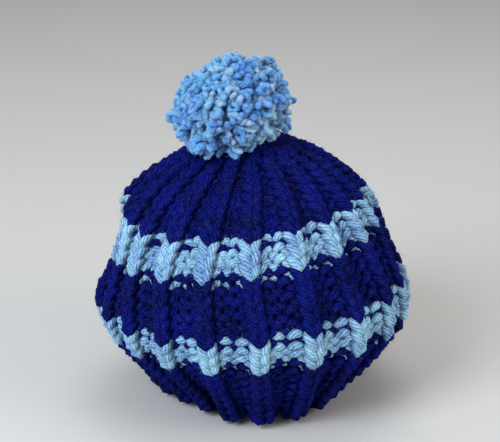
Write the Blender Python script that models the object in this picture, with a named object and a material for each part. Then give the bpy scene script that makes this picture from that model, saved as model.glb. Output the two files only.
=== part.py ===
"""Hand-knitted tea cosy in chunky one-by-two rib, in metres, +Z up.

Two ribbed panels are sewn edge to edge below and above the spout slit (-X) and the handle slit (+X),
drawn together at the crown and topped by a pompom. The hem stands on z = 0, the front faces -Y.
"""

import math
import random
from collections import namedtuple

import bmesh
import bpy
from mathutils import Matrix, Vector, noise

MM = 0.001

# Rings round the cosy, from the hem up to the drawn-in crown: height of the ring, radius of its rib
# crests, how far the crests stand out from the purl channels, and how far the slits draw the sides in.
Ring = namedtuple("Ring", "height_mm crest_radius_mm relief_mm side_pull_mm")
RINGS = (
    Ring(0.0, 58.0, 3.5, 0.0),
    Ring(6.0, 65.0, 4.5, 0.0),
    Ring(14.0, 73.0, 5.0, 0.0),
    Ring(26.0, 83.0, 5.0, 0.0),
    Ring(40.0, 92.5, 5.0, 0.0),
    Ring(55.0, 99.5, 5.0, 0.5),
    Ring(70.0, 101.0, 5.0, 2.0),
    Ring(85.0, 98.0, 5.0, 6.5),
    Ring(100.0, 93.0, 5.0, 10.0),
    Ring(115.0, 87.0, 5.0, 9.0),
    Ring(130.0, 77.0, 5.0, 3.5),
    Ring(143.0, 64.5, 4.5, 0.5),
    Ring(153.0, 50.5, 4.0, 0.0),
    Ring(161.0, 35.0, 3.0, 0.0),
    Ring(166.0, 20.0, 2.0, 0.0),
    Ring(168.0, 9.0, 1.0, 0.0),
    Ring(168.5, 2.5, 0.0, 0.0),
)
RING_SMOOTHING = 12
ROW_STEPS = 21
CLOTH_UNDER_PURL = 5.5 * MM
HEM_TURN = 0.10
CROWN_TURN = 0.06
CROWN_LEAN = -5.0 * MM
UNEVENNESS = 1.6 * MM
RIPPLES_AROUND = 1.6
RIPPLES_PER_METRE = 22.0
SEAM_GAP = 0.3 * MM

# Angles of the knit wales, in degrees from the middle of each panel, left to right from outside.
FRONT_WALES = (-86.0, -69.0, -51.5, -34.0, -17.0, 1.5, 21.5, 40.0, 57.5, 76.0)
BACK_WALES = (-86.0, -68.0, -49.0, -32.5, -14.0, 3.5, 20.5, 39.5, 58.5, 76.0)
PANEL_HALF_ANGLE = 90.0

# Points across one rib: share of the way to the next knit wale, and share of the rib's relief.
RibPoint = namedtuple("RibPoint", "offset relief")
RIB_POINTS = (
    RibPoint(-0.20, 0.75),
    RibPoint(0.00, 1.00),
    RibPoint(0.20, 0.75),
    RibPoint(0.36, 0.05),
    RibPoint(0.64, 0.05),
)
SEAM_RELIEF = 0.5

Slit = namedtuple("Slit", "low_mm high_mm half_width_mm")
SPOUT_SLIT = Slit(72.0, 122.0, 15.0)
HANDLE_SLIT = Slit(54.0, 128.0, 9.0)
SLIT_ROUNDNESS = 0.7
SLIT_PULL_ANGLE = 38.0
SIDE_PULL_SHARPNESS = 14

POMPOM_CENTRE = Vector((-13.0 * MM, -5.0 * MM, 184.5 * MM))
POMPOM_CORE_RADIUS = 19.0 * MM
POMPOM_RADIUS = 39.0 * MM
POMPOM_FLATTENING = 0.83
POMPOM_LOWEST_LOCK = -0.80

# Locks of yarn: bend and droop are shares of a lock's length, flares are widths over the root's.
LOCK_INSET = 0.9 * MM
LOCK_FLARES = (1.45, 1.15)
LOCK_BEND = 0.09
LOCK_DROOP = 0.12
LOCK_LENGTH_SPREAD = 0.14
SHORTEST_LOCK = 3.0 * MM
LOCK_CLEARANCE = 2.0 * MM
LOCK_TRIM = 0.5 * MM
SEAT_GAP = 0.35 * MM
SEED = 7

ROYAL_BLUE = (0.006, 0.008, 0.22, 1.0)
SKY_BLUE = (0.22, 0.52, 0.85, 1.0)


def clear_scene():
    for thing in list(bpy.data.objects):
        bpy.data.objects.remove(thing, do_unlink=True)


def new_collection(name):
    collection = bpy.data.collections.new(name)
    bpy.context.scene.collection.children.link(collection)
    return collection


def yarn_material(name, colour):
    material = bpy.data.materials.new(name)
    material.use_nodes = True
    shader = material.node_tree.nodes["Principled BSDF"]
    shader.inputs["Base Color"].default_value = colour
    shader.inputs["Roughness"].default_value = 0.9
    shader.inputs["Metallic"].default_value = 0.0
    return material


def catmull_rom(before, start, end, after, t):
    """The value at t between start and end on a smooth curve through four values."""
    return 0.5 * (
        2.0 * start
        + (end - before) * t
        + (2.0 * before - 5.0 * start + 4.0 * end - after) * t ** 2
        + (3.0 * start - before - 3.0 * end + after) * t ** 3
    )


def smooth_rings():
    """RINGS in metres, with RING_SMOOTHING points a span."""
    rows = [Vector(ring) * MM for ring in RINGS]
    padded = [2.0 * rows[0] - rows[1]] + rows + [2.0 * rows[-1] - rows[-2]]
    points = []
    for span in range(len(rows) - 1):
        for step in range(RING_SMOOTHING):
            points.append(catmull_rom(*padded[span:span + 4], step / RING_SMOOTHING))
    points.append(rows[-1])
    return points


def profile_sampler():
    """A function from the share of the cloth's length, hem to crown, to (ring, outward normal)."""
    points = smooth_rings()
    lengths = [0.0]
    for start, end in zip(points, points[1:]):
        lengths.append(lengths[-1] + math.hypot(end[0] - start[0], end[1] - start[1]))

    def sample(share):
        target = min(max(share, 0.0), 1.0) * lengths[-1]
        index = next(i for i in range(1, len(lengths)) if lengths[i] >= target - 1e-12)
        start, end = points[index - 1], points[index]
        t = (target - lengths[index - 1]) / (lengths[index] - lengths[index - 1])
        outward_normal = Vector((end[0] - start[0], start[1] - end[1])).normalized()
        return start.lerp(end, t), outward_normal

    return sample


def wale_angles(wales):
    """(angle, relief share) of every column of points across a panel."""
    ends = wales[1:] + (wales[-1] + (wales[-1] - wales[-2]),)
    columns = []
    for wale, following in zip(wales, ends):
        for point in RIB_POINTS:
            columns.append((wale + point.offset * (following - wale), point.relief))
    columns[0] = (-PANEL_HALF_ANGLE, SEAM_RELIEF)
    columns.append((PANEL_HALF_ANGLE, SEAM_RELIEF))
    return columns


def slit_half_width(slit, height):
    share = (height / MM - slit.low_mm) / (slit.high_mm - slit.low_mm)
    if not 0.0 < share < 1.0:
        return 0.0
    return slit.half_width_mm * MM * math.sin(math.pi * share) ** SLIT_ROUNDNESS


def pulled_angle(angle, height, radius, left_slit, right_slit):
    """A column's angle after its cloth is drawn back from the slits at the panel's two edges."""
    for edge, slit in ((-PANEL_HALF_ANGLE, left_slit), (PANEL_HALF_ANGLE, right_slit)):
        nearness = max(0.0, 1.0 - abs(angle - edge) / SLIT_PULL_ANGLE)
        pull = math.degrees(slit_half_width(slit, height) / radius) * nearness ** 2
        angle -= math.copysign(pull, edge)
    return angle


def lean_at(height):
    return CROWN_LEAN * (height / (RINGS[-1].height_mm * MM)) ** 2


def fade_in(share, width):
    """0 at the cloth's edge, 1 from width onwards."""
    return min(1.0, max(0.0, share / width))


def cloth_direction(normal, share):
    """The way the cloth's thickness runs in a ring: level at the hem, upright at the drawn-in crown."""
    outward = normal.x * fade_in(1.0 - share, CROWN_TURN)
    upward = normal.y * fade_in(share, HEM_TURN)
    return Vector((outward, upward)).normalized()


def ripple_at(bearing, facing, height):
    place = Vector((math.sin(bearing), math.cos(bearing), 0.0)) * RIPPLES_AROUND * facing
    place.z = height * RIPPLES_PER_METRE
    return UNEVENNESS * noise.noise(place)


def panel_point(sample, share, column, layer, facing, slits):
    """A point of a panel: layer 0 is its outer face, layer 1 its inner face."""
    ring, normal = sample(share)
    height, crest_radius, relief, side_pull = ring
    angle, relief_share = column
    bearing = math.radians(pulled_angle(angle, height, crest_radius, *slits))
    depth = relief * (1.0 - relief_share)
    if layer == 1:
        depth = relief + CLOTH_UNDER_PURL
    ripple = ripple_at(bearing, facing, height) * fade_in(1.0 - share, 2.0 * CROWN_TURN)
    offset = cloth_direction(normal, share) * (ripple - depth)
    radius = crest_radius - side_pull * math.sin(bearing) ** SIDE_PULL_SHARPNESS + offset.x
    place_height = height + offset.y
    return Vector((
        facing * radius * math.sin(bearing) + lean_at(place_height),
        -facing * radius * math.cos(bearing),
        place_height,
    ))


def add_panel(name, wales, facing, slits, sample, collection, material):
    """One knitted panel, as a closed sheet that is mapped on to the ribbed dome."""
    columns = wale_angles(wales)
    across = len(columns) - 1
    bm = bmesh.new()
    bmesh.ops.create_grid(bm, x_segments=across, y_segments=ROW_STEPS, size=0.5)
    sheet = bmesh.ops.extrude_face_region(bm, geom=bm.faces[:], use_keep_orig=True)
    inner = [item for item in sheet["geom"] if isinstance(item, bmesh.types.BMVert)]
    bmesh.ops.translate(bm, verts=inner, vec=(0.0, 0.0, 1.0))
    for vert in bm.verts:
        column = columns[round((vert.co.x + 0.5) * across)]
        share = round((vert.co.y + 0.5) * ROW_STEPS) / ROW_STEPS
        vert.co = panel_point(sample, share, column, round(vert.co.z), facing, slits)
        vert.co.y -= facing * SEAM_GAP / 2.0
    bmesh.ops.recalc_face_normals(bm, faces=bm.faces[:])
    return finish_mesh(bm, name, collection, material, smooth=True)


def crown_height(sample, x, y):
    """Height of the rib crests under a point near the crown."""
    low, high = 0.45, 1.0
    for _ in range(30):
        middle = (low + high) / 2.0
        ring, _normal = sample(middle)
        if ring[1] > math.hypot(x - lean_at(ring[0]), y):
            low = middle
        else:
            high = middle
    return sample(low)[0][0]


def lock_point(root, direction, length, bend, share):
    """The middle of a lock at a share of its length: it bends and droops more towards its end."""
    sideways = bend * share - Vector((0.0, 0.0, LOCK_DROOP * share))
    return root + (direction + sideways) * length * share


def add_pompom(sample, collection, material):
    """A core with one three-sided lock of yarn on each face, but for the faces that sit on the crown."""
    rng = random.Random(SEED)
    bm = bmesh.new()
    bmesh.ops.create_icosphere(bm, subdivisions=3, radius=POMPOM_CORE_RADIUS)
    lock_faces = [f for f in bm.faces if f.calc_center_median().normalized().z > POMPOM_LOWEST_LOCK]
    bmesh.ops.inset_individual(bm, faces=lock_faces, thickness=LOCK_INSET, use_even_offset=True)
    for face in lock_faces:
        root = face.calc_center_median()
        direction = root.normalized()
        spread = 1.0 + rng.uniform(-LOCK_LENGTH_SPREAD, LOCK_LENGTH_SPREAD)
        length = POMPOM_RADIUS * spread - POMPOM_CORE_RADIUS
        bend = Vector([rng.uniform(-LOCK_BEND, LOCK_BEND) for _ in range(3)])
        bend -= direction * bend.dot(direction)
        while length > SHORTEST_LOCK:
            tip = placed(lock_point(root, direction, length, bend, 1.0))
            if tip.z > crown_height(sample, tip.x, tip.y) + LOCK_CLEARANCE:
                break
            length -= LOCK_TRIM
        grow_lock(bm, face, root, direction, length, bend)
    for vert in bm.verts:
        vert.co = placed(vert.co)
    lowest = min(vert.co.z - crown_height(sample, vert.co.x, vert.co.y) for vert in bm.verts)
    bmesh.ops.translate(bm, verts=bm.verts[:], vec=(0.0, 0.0, SEAT_GAP - lowest))
    bmesh.ops.recalc_face_normals(bm, faces=bm.faces[:])
    return finish_mesh(bm, "pompom", collection, material, smooth=False)


def placed(point):
    """A point of the round pompom after it is pressed down a little and set on the crown."""
    return POMPOM_CENTRE + Vector((point.x, point.y, point.z * POMPOM_FLATTENING))


def grow_lock(bm, face, root, direction, length, bend):
    """Extrude a face into a bent lock that widens towards its cut end."""
    step_count = len(LOCK_FLARES)
    previous = root
    for step, flare in enumerate(LOCK_FLARES, start=1):
        grown = bmesh.ops.extrude_discrete_faces(bm, faces=[face])
        face = grown["faces"][0]
        centre = lock_point(root, direction, length, bend, step / step_count)
        for vert in face.verts:
            vert.co = centre + (vert.co - previous) * flare
        previous = centre


def finish_mesh(bm, name, collection, material, smooth):
    mesh = bpy.data.meshes.new(name)
    bm.to_mesh(mesh)
    bm.free()
    for polygon in mesh.polygons:
        polygon.use_smooth = smooth
    mesh.materials.append(material)
    thing = bpy.data.objects.new(name, mesh)
    collection.objects.link(thing)
    return thing


def centre_over_origin(things):
    """Move the finished meshes together, so that the middle of their box stands over the origin."""
    points = [vert.co for thing in things for vert in thing.data.vertices]
    middle_x = (min(p.x for p in points) + max(p.x for p in points)) / 2.0
    middle_y = (min(p.y for p in points) + max(p.y for p in points)) / 2.0
    for thing in things:
        thing.data.transform(Matrix.Translation((-middle_x, -middle_y, 0.0)))


def main():
    clear_scene()
    collection = new_collection("tea_cosy")
    royal = yarn_material("royal_blue_yarn", ROYAL_BLUE)
    sky = yarn_material("sky_blue_yarn", SKY_BLUE)
    sample = profile_sampler()
    front_slits = (SPOUT_SLIT, HANDLE_SLIT)
    back_slits = (HANDLE_SLIT, SPOUT_SLIT)
    front = add_panel("front_panel", FRONT_WALES, 1.0, front_slits, sample, collection, royal)
    back = add_panel("back_panel", BACK_WALES, -1.0, back_slits, sample, collection, royal)
    pompom = add_pompom(sample, collection, sky)
    centre_over_origin((front, back, pompom))


main()
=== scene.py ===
"""Looks of the hand-knitted tea cosy: yarn, stitches, pompom, light and camera, in metres, +Z up.

Every row of the two ribbed panels is laid as one yarn that loops through the row below it.
"""

import math
import random
from collections import namedtuple

import bmesh
import bpy
import numpy as np
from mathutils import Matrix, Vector, noise


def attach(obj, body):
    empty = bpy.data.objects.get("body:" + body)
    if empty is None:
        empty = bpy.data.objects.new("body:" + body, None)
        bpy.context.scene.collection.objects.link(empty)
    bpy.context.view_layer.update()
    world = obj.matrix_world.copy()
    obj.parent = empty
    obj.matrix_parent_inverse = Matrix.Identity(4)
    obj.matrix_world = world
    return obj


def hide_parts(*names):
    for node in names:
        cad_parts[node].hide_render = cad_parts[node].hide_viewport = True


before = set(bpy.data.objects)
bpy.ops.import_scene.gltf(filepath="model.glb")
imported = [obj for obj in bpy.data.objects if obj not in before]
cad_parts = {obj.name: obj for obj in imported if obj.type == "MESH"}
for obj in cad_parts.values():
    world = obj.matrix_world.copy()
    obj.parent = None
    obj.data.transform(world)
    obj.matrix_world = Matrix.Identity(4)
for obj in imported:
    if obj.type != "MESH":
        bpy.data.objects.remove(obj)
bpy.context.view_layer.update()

MM = 0.001
SEED = 11

# Rings round the cosy, from the hem up to the drawn-in crown, as in the solids.
Ring = namedtuple("Ring", "height_mm crest_radius_mm relief_mm side_pull_mm")
RINGS = (
    Ring(0.0, 58.0, 3.5, 0.0),
    Ring(6.0, 65.0, 4.5, 0.0),
    Ring(14.0, 73.0, 5.0, 0.0),
    Ring(26.0, 83.0, 5.0, 0.0),
    Ring(40.0, 92.5, 5.0, 0.0),
    Ring(55.0, 99.5, 5.0, 0.5),
    Ring(70.0, 101.0, 5.0, 2.0),
    Ring(85.0, 98.0, 5.0, 6.5),
    Ring(100.0, 93.0, 5.0, 10.0),
    Ring(115.0, 87.0, 5.0, 9.0),
    Ring(130.0, 77.0, 5.0, 3.5),
    Ring(143.0, 64.5, 4.5, 0.5),
    Ring(153.0, 50.5, 4.0, 0.0),
    Ring(161.0, 35.0, 3.0, 0.0),
    Ring(166.0, 20.0, 2.0, 0.0),
    Ring(168.0, 9.0, 1.0, 0.0),
    Ring(168.5, 2.5, 0.0, 0.0),
)
RING_SMOOTHING = 12
HEM_TURN = 0.10
CROWN_TURN = 0.06
CROWN_LEAN = -5.0 * MM
CENTRING = np.array([0.9, -0.26, 0.0]) * MM
UNEVENNESS = 1.6 * MM
RIPPLES_AROUND = 1.6
RIPPLES_PER_METRE = 22.0
SIDE_PULL_SHARPNESS = 14
SIDE_EASE = 0.72
# How far the hem stands out or is drawn in, by the way it faces: degrees from the front, mm.
HEM_DRAW = (
    (-150.0, -2.0), (-90.0, -0.5), (-62.0, -5.0), (-40.0, -8.0), (-22.0, -3.0), (-8.0, 2.5),
    (8.0, 3.0), (24.0, 0.5), (40.0, -4.0), (60.0, -8.0), (90.0, -8.5), (150.0, -2.0), (180.0, -1.0),
)
HEM_DRAW_REACH = 56.0 * MM
# The side under the spout is a little fuller.
SPOUT_SIDE_FULLNESS = 2.2 * MM
SPOUT_SIDE_MIDDLE_MM = 48.0
SPOUT_SIDE_REACH_MM = 40.0
# The back panel's edge over the spout stands out and up.
LIP_FLARE = 9.0 * MM
LIP_RISE = 10.0 * MM
LIP_REACH = 34.0
LIP_MIDDLE = 122.0 * MM
LIP_HALF_HEIGHT = 34.0 * MM
# The ribs lean by some degrees above the belly.
TWIST = -3.2
TWIST_FROM = 85.0 * MM
TWIST_REACH = 45.0 * MM

FRONT_WALES = (-86.0, -69.0, -51.5, -34.0, -17.0, 1.5, 21.5, 40.0, 57.5, 76.0)
BACK_WALES = (-86.0, -68.0, -49.0, -32.5, -14.0, 3.5, 20.5, 39.5, 58.5, 76.0)
PANEL_HALF_ANGLE = 90.0

Slit = namedtuple("Slit", "low_mm high_mm half_width_mm")
SPOUT_SLIT = Slit(72.0, 122.0, 15.0)
HANDLE_SLIT = Slit(54.0, 128.0, 9.0)
SLIT_ROUNDNESS = 0.7
SLIT_PULL_ANGLE = 38.0
SLIT_EDGE_EASE = 3.0

# Rows of knitting in each band of colour, hem to crown: number of rows, place of the middle of the
# first row along the cloth and distance between rows, and stitches in a rib.
Band = namedtuple("Band", "name yarn rows first_mm pitch_mm stitches")
BANDS = (
    Band("hem_band", "royal", 7, 10.5, 7.62, 3),
    Band("lower_stripe", "sky", 3, 63.9, 7.30, 3),
    Band("middle_band", "royal", 5, 86.6, 8.10, 3),
    Band("upper_stripe", "sky", 3, 127.2, 7.60, 3),
    Band("shoulder", "royal", 4, 150.3, 7.90, 3),
    Band("crown", "royal", 4, 181.8, 7.80, 2),
    Band("crown_top", "royal", 4, 213.0, 7.60, 1),
)
STRIPE_RISE = 13.5 * MM
STRIPE_RISE_REACH = 95.0 * MM

# The loops. Leans, skews and fullnesses are shares of a stitch's width or of the yarn's radius.
KNIT, PURL = 1.0, -1.0
YARN_RADIUS = 2.75 * MM
YARN_SWELL = 0.06
LOOP_REACH = 0.88
SAMPLE_BIAS = 0.2
KNIT_LEAN = 0.26
KNIT_SKEW = 0.05
LEG_FULLNESS = 0.05
PURL_LEAN = 0.17
LOOP_DEPTH = 2.6 * MM
LOOP_TILT = 2.3 * MM
PURL_FLATNESS = 0.8
PURL_TILT = 1.0 * MM
KNIT_FULLNESS = 0.05
KNIT_DEPTH = YARN_RADIUS + LOOP_DEPTH
# Furrows of purl stitches: how deep they lie, and each purl stitch's share of that.
PURL_SINK = 7.8 * MM
PURL_SINKS = {1: (), 2: (0.85,), 3: (1.0, 0.75)}
FURROW_SIDE = 0.45
CROWN_EASE = 0.30
CROWN_EASE_FROM = 145.0 * MM
CROWN_EASE_REACH = 45.0 * MM
# The hem's edge dips at the ribs and flares out.
HEM_SCALLOP = 6.0 * MM
HEM_SCALLOP_LEVEL = 0.4
HEM_SCALLOP_REACH = 45.0 * MM
HEM_FLARE = 8.0 * MM
TUCKED_BACK = 1.6 * MM
TUCKED_UP = 1.2 * MM
STEPS_PER_STITCH = 16
# Turns at the panel's edges, and the room that they take where the panels are sewn.
EDGE_TURN = 3.2 * MM
EDGE_TURN_STEPS = 5
EDGE_FALLOFF = 6
SEAM_ROOM = 1.6 * MM
NARROWEST_RADIUS = 20.0 * MM
WIDE_RIB = 30.0 * MM
NARROW_RIB = 16.0 * MM
KNIT_SHARE_WIDE = 0.29
KNIT_SHARE_NARROW = 0.62
HIDDEN_JOIN = 0.7
LOOP_UNEVENNESS = 0.07
STITCH_JITTER = 0.6 * MM
WALE_WANDER = 1.1 * MM
WANDERS_PER_METRE = 38.0
WANDERS_PER_DEGREE = 0.07
WANDER_OF_PANEL = 5.0
WANDER_EDGE = 20.0
LOWEST_YARN = 0.95 * YARN_RADIUS
OUTWARD_STEP = 1.0 * MM
FLOOR_CLEARANCE = 0.05 * MM

# The spun yarn and the loose fibres on it: fibres for a square metre of yarn, and their growth.
PLIES = 3
PLY_DEPTH = 0.04
TWIST_LENGTH = 70.0 * MM
YARN_SIDES = 10
FUZZ = 62000.0
POMPOM_FUZZ = 60000.0
FIBRE_LENGTH = 4.0 * MM
FIBRE_WIDTH = 0.17 * MM
FIBRE_RISE = 0.5
FIBRE_GROWTH = (0.45, 1.25)

# The thin web of fibres behind the loops.
WEB_THICKNESS = 1.6 * MM
WEB_DEPTH = 0.6 * MM
WEB_STEPS = (48, 84)
WEB_EDGE = 0.8
WEB_HEM = 4.0 * MM
WEB_CROWN = 6.0 * MM
# How far the web sinks at a rib's edge, the knit wale's end, the furrow and the next rib.
WEB_SINKS = (0.3, 0.4, 1.0, 0.7, 0.3)
WEB_FURROW_START = 0.12
WEB_FURROW_END = 0.86
WEB_RIB_RISE = 0.4

# The pompom: strands of yarn tied at the middle.
POMPOM_MIDDLE = np.array([-15.6, -5.3, 187.5]) * MM
POMPOM_RADIUS = 36.5 * MM
POMPOM_FLATTENING = 0.83
POMPOM_STRANDS = 740
POMPOM_LEAN = 0.12
POMPOM_CORE = 22.0 * MM
CORE_LUMP = 3.0 * MM
CORE_LUMPS_PER_METRE = 140.0
CORE_CLEARANCE = 0.4 * MM
CROWN_SAMPLES = 80
STRAND_RADIUS = 2.1 * MM
STRAND_RADIUS_SPREAD = (0.85, 1.15)
STRAND_TIP = (0.95, 0.60)
STRAND_TIP_START = 0.96
STRAND_START = 18.0 * MM
STRAND_CLEARANCE = 0.3 * MM
STRAND_POINTS = 13
STRAND_SIDES = 6
STRAND_SPREAD = 0.16
STRAND_REACH_SPREAD = (-0.14, 0.06)
STRAND_BEND = 0.55
STRAND_BEND_SPREAD = (0.1, 0.7)
STRAND_CURL = 2.5 * MM
STRAND_CURL_SPREAD = (0.55, 1.25)
STRAND_CURL_TURNS = (1.2, 3.0)
STRAND_DROOP = 3.0 * MM
LOWEST_STRAND = -0.78
# Tones: how light a strand is at its root, where it is drawn darker as painted shade; how strands
# differ at random; and how pale strands are, from a random paler tone plus a painted highlight on
# strands that point towards +x, growing towards the tips.
STRAND_ROOT_PAINTED_LIGHT = 0.70
STRAND_LIGHT_SPREAD = (0.72, 1.12)
PALE_STRANDS = 0.42
PALE_SPREAD = (-0.6, 1.0)
PAINTED_HIGHLIGHT_SIDE = 0.35
PALE_ROOT = 0.4
PALEST_STRAND = 0.8
# Where the pompom is fuller or sparser: a direction and a share of its radius.
LUMP_SHARPNESS = 3
SMALL_LUMP = 0.16
SMALL_LUMPS_AROUND = 2.6
POMPOM_LUMPS = (
    ((-0.75, -0.1, 0.65), -0.22),
    ((1.0, -0.2, 0.0), -0.06),
    ((0.1, 0.0, 1.0), 0.06),
    ((0.70, 0.0, 0.6), 0.03),
    ((-0.25, -0.8, -0.5), 0.10),
)
# Single strands cut too long: the way they point and their length as a share of the others'.
POMPOM_TAILS = (
    ((-0.46, -0.80, -0.50), 1.27),
    ((-0.20, -0.86, -0.50), 1.17),
    ((0.02, -0.10, 1.00), 1.10),
    ((0.85, -0.05, 0.50), 1.12),
    ((-0.30, 0.75, 0.45), 1.14),
)


# ---------------------------------------------------------------- the ribbed dome

def catmull_rom(before, start, end, after, t):
    return 0.5 * (
        2.0 * start
        + (end - before) * t
        + (2.0 * before - 5.0 * start + 4.0 * end - after) * t ** 2
        + (3.0 * start - before - 3.0 * end + after) * t ** 3
    )


def smooth_rings():
    rows = [np.array(ring) * MM for ring in RINGS]
    padded = [2.0 * rows[0] - rows[1]] + rows + [2.0 * rows[-1] - rows[-2]]
    points = []
    for span in range(len(rows) - 1):
        for step in range(RING_SMOOTHING):
            points.append(catmull_rom(*padded[span:span + 4], step / RING_SMOOTHING))
    points.append(rows[-1])
    return np.array(points)


RING_POINTS = smooth_rings()
RING_STEPS = np.hypot(np.diff(RING_POINTS[:, 0]), np.diff(RING_POINTS[:, 1]))
RING_ARCS = np.concatenate([[0.0], np.cumsum(RING_STEPS)])
CLOTH_LENGTH = RING_ARCS[-1]
RING_NORMALS = np.stack([np.gradient(RING_POINTS[:, 0]), -np.gradient(RING_POINTS[:, 1])], axis=1)
RING_NORMALS /= np.linalg.norm(RING_NORMALS, axis=1)[:, None]


def on_ring(values, arc):
    return np.interp(arc, RING_ARCS, values)


def slit_half_width(slit, height):
    share = np.clip((height / MM - slit.low_mm) / (slit.high_mm - slit.low_mm), 0.0, 1.0)
    return slit.half_width_mm * MM * np.sin(math.pi * share) ** SLIT_ROUNDNESS


def pulled_angle(angle, height, radius, slits):
    for edge, slit in zip((-PANEL_HALF_ANGLE, PANEL_HALF_ANGLE), slits):
        nearness = np.maximum(0.0, 1.0 - np.abs(angle - edge) / SLIT_PULL_ANGLE)
        pull = np.degrees(slit_half_width(slit, height) / radius) * nearness ** 2
        angle = angle - math.copysign(1.0, edge) * pull
    return angle


def ripple_at(bearing, facing, height):
    """The slow hollows and swells of the cloth."""
    values = np.empty(len(bearing))
    for i in range(len(bearing)):
        place = Vector((math.sin(bearing[i]), math.cos(bearing[i]), 0.0)) * RIPPLES_AROUND * facing
        place.z = height[i] * RIPPLES_PER_METRE
        values[i] = noise.noise(place)
    return UNEVENNESS * values


def lip_share(angle, height, facing):
    """1 at the back panel's edge over the spout, fading to 0 away from it."""
    if facing > 0.0:
        return np.zeros(len(height))
    near = smoothstep(1.0 - (PANEL_HALF_ANGLE - angle) / LIP_REACH)
    return near * smoothstep(1.0 - np.abs(height - LIP_MIDDLE) / LIP_HALF_HEIGHT)


def on_cloth(arc, angle, depth, facing, slits):
    """Points of a panel, from the way along the cloth, the angle across it and the depth in it."""
    arc = np.clip(arc, 0.0, CLOTH_LENGTH)
    share = arc / CLOTH_LENGTH
    height = on_ring(RING_POINTS[:, 0], arc)
    crest = on_ring(RING_POINTS[:, 1], arc)
    side_pull = on_ring(RING_POINTS[:, 3], arc)
    bearing = np.radians(pulled_angle(angle, height, crest, slits))
    outward = on_ring(RING_NORMALS[:, 0], arc) * np.clip((1.0 - share) / CROWN_TURN, 0.0, 1.0)
    upward = on_ring(RING_NORMALS[:, 1], arc) * np.clip(share / HEM_TURN, 0.0, 1.0)
    length = np.hypot(outward, upward)
    fade = np.clip((1.0 - share) / (2.0 * CROWN_TURN), 0.0, 1.0)
    offset = (ripple_at(bearing, facing, height) * fade - depth) / length
    way = np.degrees(bearing) + (0.0 if facing > 0.0 else 180.0)
    stands, draws = np.array(HEM_DRAW).T
    near_hem = smoothstep(1.0 - height / HEM_DRAW_REACH)
    draw = np.interp(way, stands, draws, period=360.0) * MM * near_hem
    spout_side = np.maximum(0.0, -facing * np.sin(bearing)) ** 2
    near_middle = 1.0 - np.abs(height / MM - SPOUT_SIDE_MIDDLE_MM) / SPOUT_SIDE_REACH_MM
    full = SPOUT_SIDE_FULLNESS * spout_side * smoothstep(near_middle)
    lip = LIP_FLARE * lip_share(np.degrees(bearing), height, facing)
    pull = SIDE_EASE * side_pull * np.sin(bearing) ** SIDE_PULL_SHARPNESS
    radius = crest + draw + full + lip - pull + offset * outward
    place_height = height + offset * upward
    lean = CROWN_LEAN * (place_height / (RINGS[-1].height_mm * MM)) ** 2
    return CENTRING + np.stack([
        facing * radius * np.sin(bearing) + lean,
        -facing * radius * np.cos(bearing),
        place_height,
    ], axis=1)


# ---------------------------------------------------------------- rows of stitches

def rib_edges(wales):
    """Left edges of the ribs and the right edge of the last, in degrees."""
    edges = [-PANEL_HALF_ANGLE]
    for left, right in zip(wales, wales[1:]):
        edges.append(right - KNIT_SHARE_WIDE / 2.0 * (right - left))
    edges.append(PANEL_HALF_ANGLE)
    return edges


Span = namedtuple("Span", "left right sign sink")


def stitch_spans(edges, stitches, knit_share):
    """Each stitch's edges, whether it is knit or purl, and its share of the furrow's depth."""
    spans = []
    for left, right in zip(edges, edges[1:]):
        width = right - left
        if stitches == 1:
            spans.append(Span(left, right, KNIT, 0.0))
            continue
        knit_end = left + knit_share * width
        spans.append(Span(left, knit_end, KNIT, 0.0))
        purl_width = (right - knit_end) / (stitches - 1)
        for purl in range(stitches - 1):
            start = knit_end + purl * purl_width
            spans.append(Span(start, start + purl_width, PURL, PURL_SINKS[stitches][purl]))
    return spans


def knit_share_at(ring_radius, wales):
    """The knit wale's share of a rib: purl wales close up first where the cloth is narrow."""
    rib_width = math.pi * ring_radius / len(wales)
    narrowness = min(1.0, max(0.0, (WIDE_RIB - rib_width) / (WIDE_RIB - NARROW_RIB)))
    return KNIT_SHARE_WIDE + (KNIT_SHARE_NARROW - KNIT_SHARE_WIDE) * narrowness


def unit(vectors):
    return vectors / np.maximum(np.linalg.norm(vectors, axis=1)[:, None], 1e-9)


def smoothstep(x):
    x = np.clip(x, 0.0, 1.0)
    return x * x * (3.0 - 2.0 * x)


def row_path(band, row, wales, rng):
    """One row of stitches as points along its yarn, from the panel's left edge to its right."""
    middle = (band.first_mm + row * band.pitch_mm) * MM
    ring_radius = float(on_ring(RING_POINTS[:, 1], middle))
    spans = stitch_spans(rib_edges(wales), band.stitches, knit_share_at(ring_radius, wales))
    even = np.linspace(0.0, 2.0 * math.pi, STEPS_PER_STITCH + 1)
    turns = even - SAMPLE_BIAS * np.sin(2.0 * even)
    reach = LOOP_REACH * band.pitch_mm * MM
    tucks = row == 0 and band.yarn == "sky"
    loops = []
    for index, span in enumerate(spans):
        last = index + 1 == len(spans)
        neighbours = spans[max(0, index - 1)], spans[min(len(spans) - 1, index + 1)]
        t = turns if last else turns[:-1]
        loops.append(loop_of_yarn(span, neighbours, t, middle, reach, ring_radius, tucks, rng))
    return tuple(np.concatenate(parts) for parts in zip(*loops))


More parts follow.
